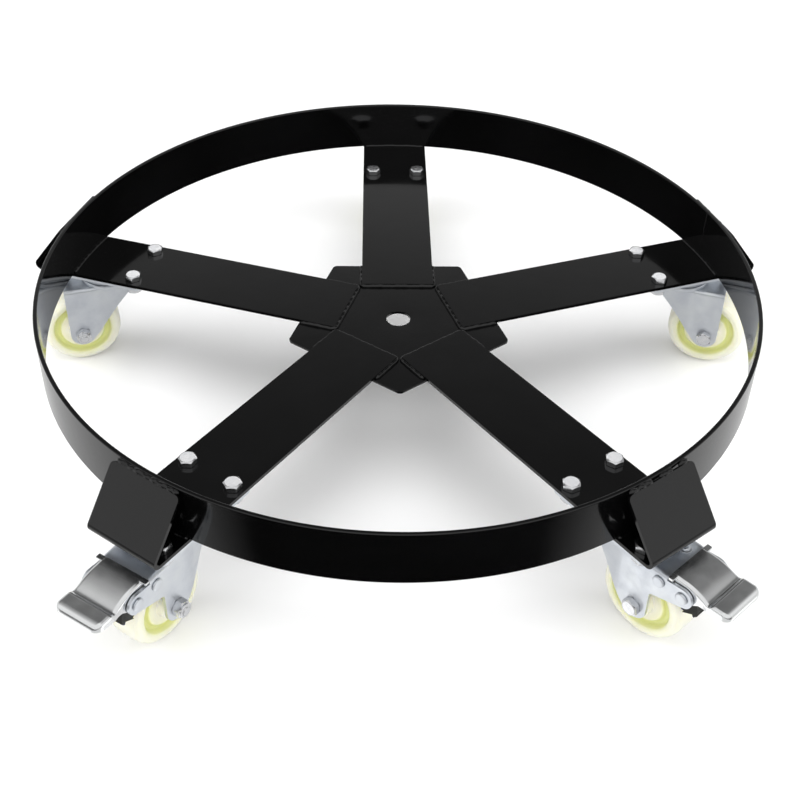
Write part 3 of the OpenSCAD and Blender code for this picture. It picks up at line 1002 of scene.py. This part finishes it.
def pedal_part():
    """The pedal without its ears: one sheet whose long edges and tip are rolled down into a rim."""
    path, tip = pedal_path()
    t, corner = PEDAL_T, LIP_CORNER

    def surface(side):
        """Height of one face of the sheet as a function of x."""
        points = [p + side * t / 2 * Vector((-math.sin(h), math.cos(h))) for p, h in path]
        last, h = points[-1], path[-1][1]
        points.append(last + Vector((math.cos(h), math.sin(h))) * 8)
        return lambda x: float(np.interp(x, [p.x for p in points], [p.y for p in points]))

    top, under = surface(1), surface(-1)

    def half(x):
        w = min(1.0, max(0.0, (x - LIP_START + 8) / 8))
        return PEDAL_HALF + (LIP_HALF - PEDAL_HALF) * w * w * (3 - 2 * w)

    def place(u, inset):
        """Row u of the outline, set in by inset, as (x, half width). Past 1, u - 1 is the corner's angle."""
        if u <= 1:
            x = PEDAL_START.x + (tip - corner - PEDAL_START.x) * u
            return x, half(x) - inset
        a, r = math.radians(u - 1), corner - inset
        return tip - corner + r * math.sin(a), LIP_HALF - corner + r * math.cos(a)

    def edge_distance(x, y, inset):
        dx, dy = x - (tip - corner), y - (LIP_HALF - corner)
        if dx > 0 and dy > 0:
            return corner - inset - math.hypot(dx, dy)
        return min(tip - inset - x, half(x) - inset - y)

    def sheet(face, inset, roll):
        rows = []
        for u in marks:
            x, wide = place(u, inset)
            row = [(wide - 3.4) * (1 - o) for o in (1, 0.8, 0.6, 0.4, 0.2, 0)]
            row += [wide - o for o in (2.7, 2.1, 1.55, 1.05, 0.65, 0.33, 0.12, 0)]
            line = []
            for y in row:
                d = roll - max(0.0, edge_distance(x, y, inset))
                drop = roll - math.sqrt(max(0.0, roll**2 - d * d)) if d > 0 else 0
                line.append((x, y, face(x) - drop))
            rows.append(line)
        return rows

    marks = [i / 60 for i in range(61)] + [1 + a for a in range(6, 91, 7)]
    outer, inner = sheet(top, 0.0, PEDAL_ROLL), sheet(under, t, PEDAL_ROLL - t)
    outside = [row[-1] for row in outer] + outer[-1][-2::-1]
    inside = [row[-1] for row in inner] + inner[-1][-2::-1]
    walls = []
    for a, b in zip(outside, inside):
        low = min(pedal_low(a[0]), a[2] - 0.5) if a[0] > EAR_END else a[2] - 0.5
        walls.append(
            [(a[0], a[1], a[2] + (low - a[2]) * i / 4) for i in range(5)]
            + [(b[0], b[1], low + (b[2] - low) * i / 4) for i in range(5)]
        )
    n = 5
    cap = grid([outer[0] + walls[0][1:n], inner[0] + walls[0][n:-1][::-1]])
    return mirrored(joined(grid(outer), grid(inner), grid(walls), cap))


def brake_looks():
    at_each("brake_pedal", pedal_part(), PLATE, "bright_plate", BRAKED, "brake_", bevel=0.35, segments=2)
    z = PEDAL_START.y
    x0, x1, y0, y1 = PEDAL_START.x, EAR_END, 17.2, 23.5
    outline = rounded([(x0, y0), (x1, y0), (x1, y1), (x0, y1)], [0, 0, 1.0, 1.0], 20, True)
    near, far = ([(p.x, p.y, z + side * PEDAL_T / 2) for p in outline] for side in (-1, 1))
    ears = mirrored(prism(near, far))
    at_each("pedal_ears", ears, PLATE, "bright_plate", BRAKED, "brake_", in_cad=False, bevel=0.25)
    shoe_look()
    pins_look()
    spring_look()


def shoe_look():
    inner = 36 + 4.5
    teeth = []
    for i in range(41):
        a = math.radians(i * 2.25 - 5)
        q = AXLE + (inner + (i % 2) * 2.0) * Vector((math.cos(a), math.sin(a)))
        teeth.append(q)
    upper = [PIVOT + Vector(p) for p in ((-7, -2), (-11.0, -13.0))]
    lobes = ((6.9, -17.2), (7.6, -19.0), (8.9, -19.2), (9.3, -17.6), (10.4, -17.2), (11.2, -15.6),
             (10.3, -14.6), (10.6, -12.6), (7.3, -1))
    lower = [PIVOT + Vector(p) for p in lobes]
    keep = [q for q in teeth if upper[1].x < q.x < lower[0].x and lower[0].y - 5.0 < q.y < upper[1].y]
    outline = upper + sorted(keep, key=lambda q: -q.y) + lower
    outline += arc(PIVOT, 7.35, math.radians(-10), math.radians(190), 14)
    near, far = ([(p.x, y, p.y) for p in outline] for y in (-15.0, 15.0))
    part = prism(near, far)
    at_each("brake_shoe", part, PLASTIC, "black_plastic", BRAKED, "brake_", bevel=0.35, merge=0.05)


def pins_look():
    half = FORK_W / 2
    head = rounded([(0, 1.8), (4.2, 1.7), (5.0, 1.0), (5.0, 0.35), (4.3, 0.3), (4.3, -0.1), (0, -0.1)],
                   [0, 1.5, 0.5, 0, 0, 0, 0], 15)
    parts = []
    for p in (STOP_PIN, PIVOT):
        for side in (-1, 1):
            at = Matrix.Translation((p.x, side * half, p.y)) @ turned("X", -90 * side)
            parts.append(moved(lathe(head, 48, False), at))
        parts.append(bar(4, p.x, p.y, FORK_W - 0.1))
    at_each("brake_pins", joined(*parts), ZINC, "zinc_plate", BRAKED)


def spring_look():
    """Torsion spring on the stop pin, with one leg under the pedal."""
    wire, turns, coil = 0.75, 7.5, 5.3
    points = []
    for i in range(int(turns * 24) + 1):
        a = 2 * math.pi * i / 24
        y = -5.9 + 11.8 * i / (turns * 24)
        points.append((STOP_PIN.x + coil * math.sin(a), y, STOP_PIN.y + coil * math.cos(a)))
    last = Vector(points[-1])
    points += [tuple(last + Vector((3, 0.2, 4.0)) * t) for t in (0.4, 0.8, 1.2)]
    at_each("brake_spring", tube(points, [wire] * len(points), 8), ZINC, "zinc_plate", BRAKED, sharp=80)


# ---------- stage, light and camera ----------


def stage():
    """A pale floor, so wide that its far edge is on the horizon."""
    half, z = 60.0, FLOOR_Z * MM
    mesh = bpy.data.meshes.new("floor")
    corners = [(-half, -half, z), (half, -half, z), (half, half, z), (-half, half, z)]
    mesh.from_pydata(corners, [], [(0, 1, 2, 3)])
    floor = put("floor", mesh)
    n = Nodes("studio_floor")
    n.set(Roughness=0.85, IOR=1.2)
    n.link(n.ramp(n.noise(3, 2), [(0.3, grey(0.93)), (0.7, grey(0.95))]), n.shader.inputs["Base Color"])
    mesh.materials.append(n.material)
    floor.visible_glossy = False


def flag():
    """A black card under the back of the hoop that only reflections see. It keeps the hoop's inside black."""
    radius, front_edge, height, count = 0.3, 0.115, -0.006, 40
    start = math.asin(front_edge / radius)
    turns = np.linspace(start, math.pi - start, count)
    rim = [(radius * math.cos(t), radius * math.sin(t), height) for t in turns]
    mesh = bpy.data.meshes.new("flag")
    mesh.from_pydata(rim, [], [tuple(range(count))])
    card = put("flag", mesh)
    n = Nodes("black_card")
    n.set(Roughness=1.0)
    n.link(n.ramp(n.noise(8, 2), [(0.3, grey(0.001)), (0.7, grey(0.002))]), n.shader.inputs["Base Color"])
    mesh.materials.append(n.material)
    for kind in ("camera", "diffuse", "transmission", "volume_scatter", "shadow"):
        setattr(card, "visible_" + kind, False)


def light(name, place, target, size, power, glossy=False):
    data = bpy.data.lights.new(name, "AREA")
    data.shape = "RECTANGLE"
    data.size, data.size_y = size
    data.energy = power
    obj = put(name, data)
    obj.location = place
    obj.rotation_mode = "QUATERNION"
    obj.rotation_quaternion = (Vector(target) - Vector(place)).to_track_quat("-Z", "Y")
    obj.visible_glossy = glossy
    return obj


# Brightness of the back wall by height, from the horizon at 0 to straight up at 1.
BACK_WALL = [(0.0, 0.75), (0.50, 0.52), (0.545, 0.38), (0.58, 0.29), (0.62, 0.20), (0.68, 0.13), (0.82, 0.15),
             (0.915, 0.65), (0.965, 1.0)]


def world_light():
    """A pale studio with a dark band high on its back wall. Below the horizon, only the front is dark."""
    world = bpy.data.worlds.new("studio")
    world.use_nodes = True
    tree = world.node_tree
    background = tree.nodes["Background"]
    place = tree.nodes.new("ShaderNodeTexCoord").outputs["Generated"]
    split = tree.nodes.new("ShaderNodeSeparateXYZ")
    tree.links.new(place, split.inputs["Vector"])

    def ramp(socket, stops):
        node = tree.nodes.new("ShaderNodeValToRGB")
        while len(node.color_ramp.elements) < len(stops):
            node.color_ramp.elements.new(0.5)
        for element, (at, value) in zip(node.color_ramp.elements, stops):
            element.position, element.color = at, (value, value, value, 1)
        tree.links.new(socket, node.inputs["Fac"])
        return node.outputs["Color"]

    def between(socket, start, end):
        node = tree.nodes.new("ShaderNodeMapRange")
        node.inputs["From Min"].default_value, node.inputs["From Max"].default_value = start, end
        tree.links.new(socket, node.inputs["Value"])
        return node.outputs["Result"]

    def mix(factor, a, b):
        node = tree.nodes.new("ShaderNodeMix")
        node.data_type = "RGBA"
        tree.links.new(factor, node.inputs["Factor"])
        for socket, value in zip((node.inputs["A"], node.inputs["B"]), (a, b)):
            if isinstance(value, float):
                socket.default_value = (value, value, value, 1)
            else:
                tree.links.new(value, socket)
        return node.outputs["Result"]

    back = ramp(split.outputs["Z"], BACK_WALL)
    upper = mix(between(split.outputs["Y"], -0.1, 0.3), 0.85, back)
    lower = mix(between(split.outputs["Y"], -0.46, -0.14), 0.01, 0.75)
    tree.links.new(mix(between(split.outputs["Z"], -0.03, 0.01), lower, upper), background.inputs["Color"])
    background.inputs["Strength"].default_value = 1.0
    bpy.context.scene.world = world


def lights():
    """Four soft lamps, one from below for the plated pieces and the nylon, and one for the mounting bolts."""
    bpy.context.scene.view_settings.view_transform = "Standard"
    world_light()
    light("overhead", (0.0, -0.2, 2.2), (0, 0, 0), (2.6, 2.0), 30)
    light("front", (0.2, -2.4, 1.5), (0, 0, 0), (2.6, 1.2), 16)
    light("left", (-2.2, -0.3, 1.0), (0, 0, -0.05), (1.2, 1.6), 18)
    light("right", (2.2, -0.3, 1.0), (0, 0, -0.05), (1.2, 1.6), 18)
    floor_glow = light("floor_glow", (0.0, -1.5, -0.6), (0, -1.5, 0), (4.0, 2.4), 21, True)
    only_on(floor_glow, lambda obj: obj.data.materials[0] in (ZINC, PLATE, STEEL, NYLON))
    bolt_glow = light("bolt_glow", (0.0, 1.5, 1.3), (0, 0, 0), (2.6, 1.2), 8, True)
    only_on(bolt_glow, lambda obj: obj.name.startswith("mounting_bolts"))


def only_on(lamp, wanted):
    """Lets a lamp light only some of the pieces."""
    group = bpy.data.collections.new(lamp.name + "_on")
    for obj in bpy.context.scene.objects:
        if obj.type == "MESH" and obj.data.materials and wanted(obj):
            group.objects.link(obj)
    lamp.light_linking.receiver_collection = group


def camera():
    """The photograph's angle: from 38 degrees up and a little to the left, with a small roll."""
    yaw, pitch, roll, distance = 0.031, 0.657, 0.022, 1.10625
    aim = Vector((0.004417, 0, -0.011036))
    forward = Vector((0, math.cos(pitch), -math.sin(pitch)))
    right = Vector((1, 0, 0))
    up = right.cross(forward)
    r = math.cos(roll) * right + math.sin(roll) * up
    u = -math.sin(roll) * right + math.cos(roll) * up
    turn = Matrix.Rotation(-yaw, 4, "Z")
    place = aim - forward * distance
    matrix = turn @ Matrix.Translation(place) @ Matrix((r, u, -forward)).transposed().to_4x4()
    data = bpy.data.cameras.new("camera")
    data.sensor_width = 36
    data.lens = 56.14
    data.shift_x, data.shift_y = -0.0039, -0.0896
    data.clip_start, data.clip_end = 0.01, 50
    obj = put("camera", data)
    obj.matrix_world = matrix
    bpy.context.scene.camera = obj


camera()
stage()
flag()
frame_looks()
mounting_fasteners()
swivel_looks()
fork_looks()
wheel_looks()
axle_looks()
brake_looks()
lights()
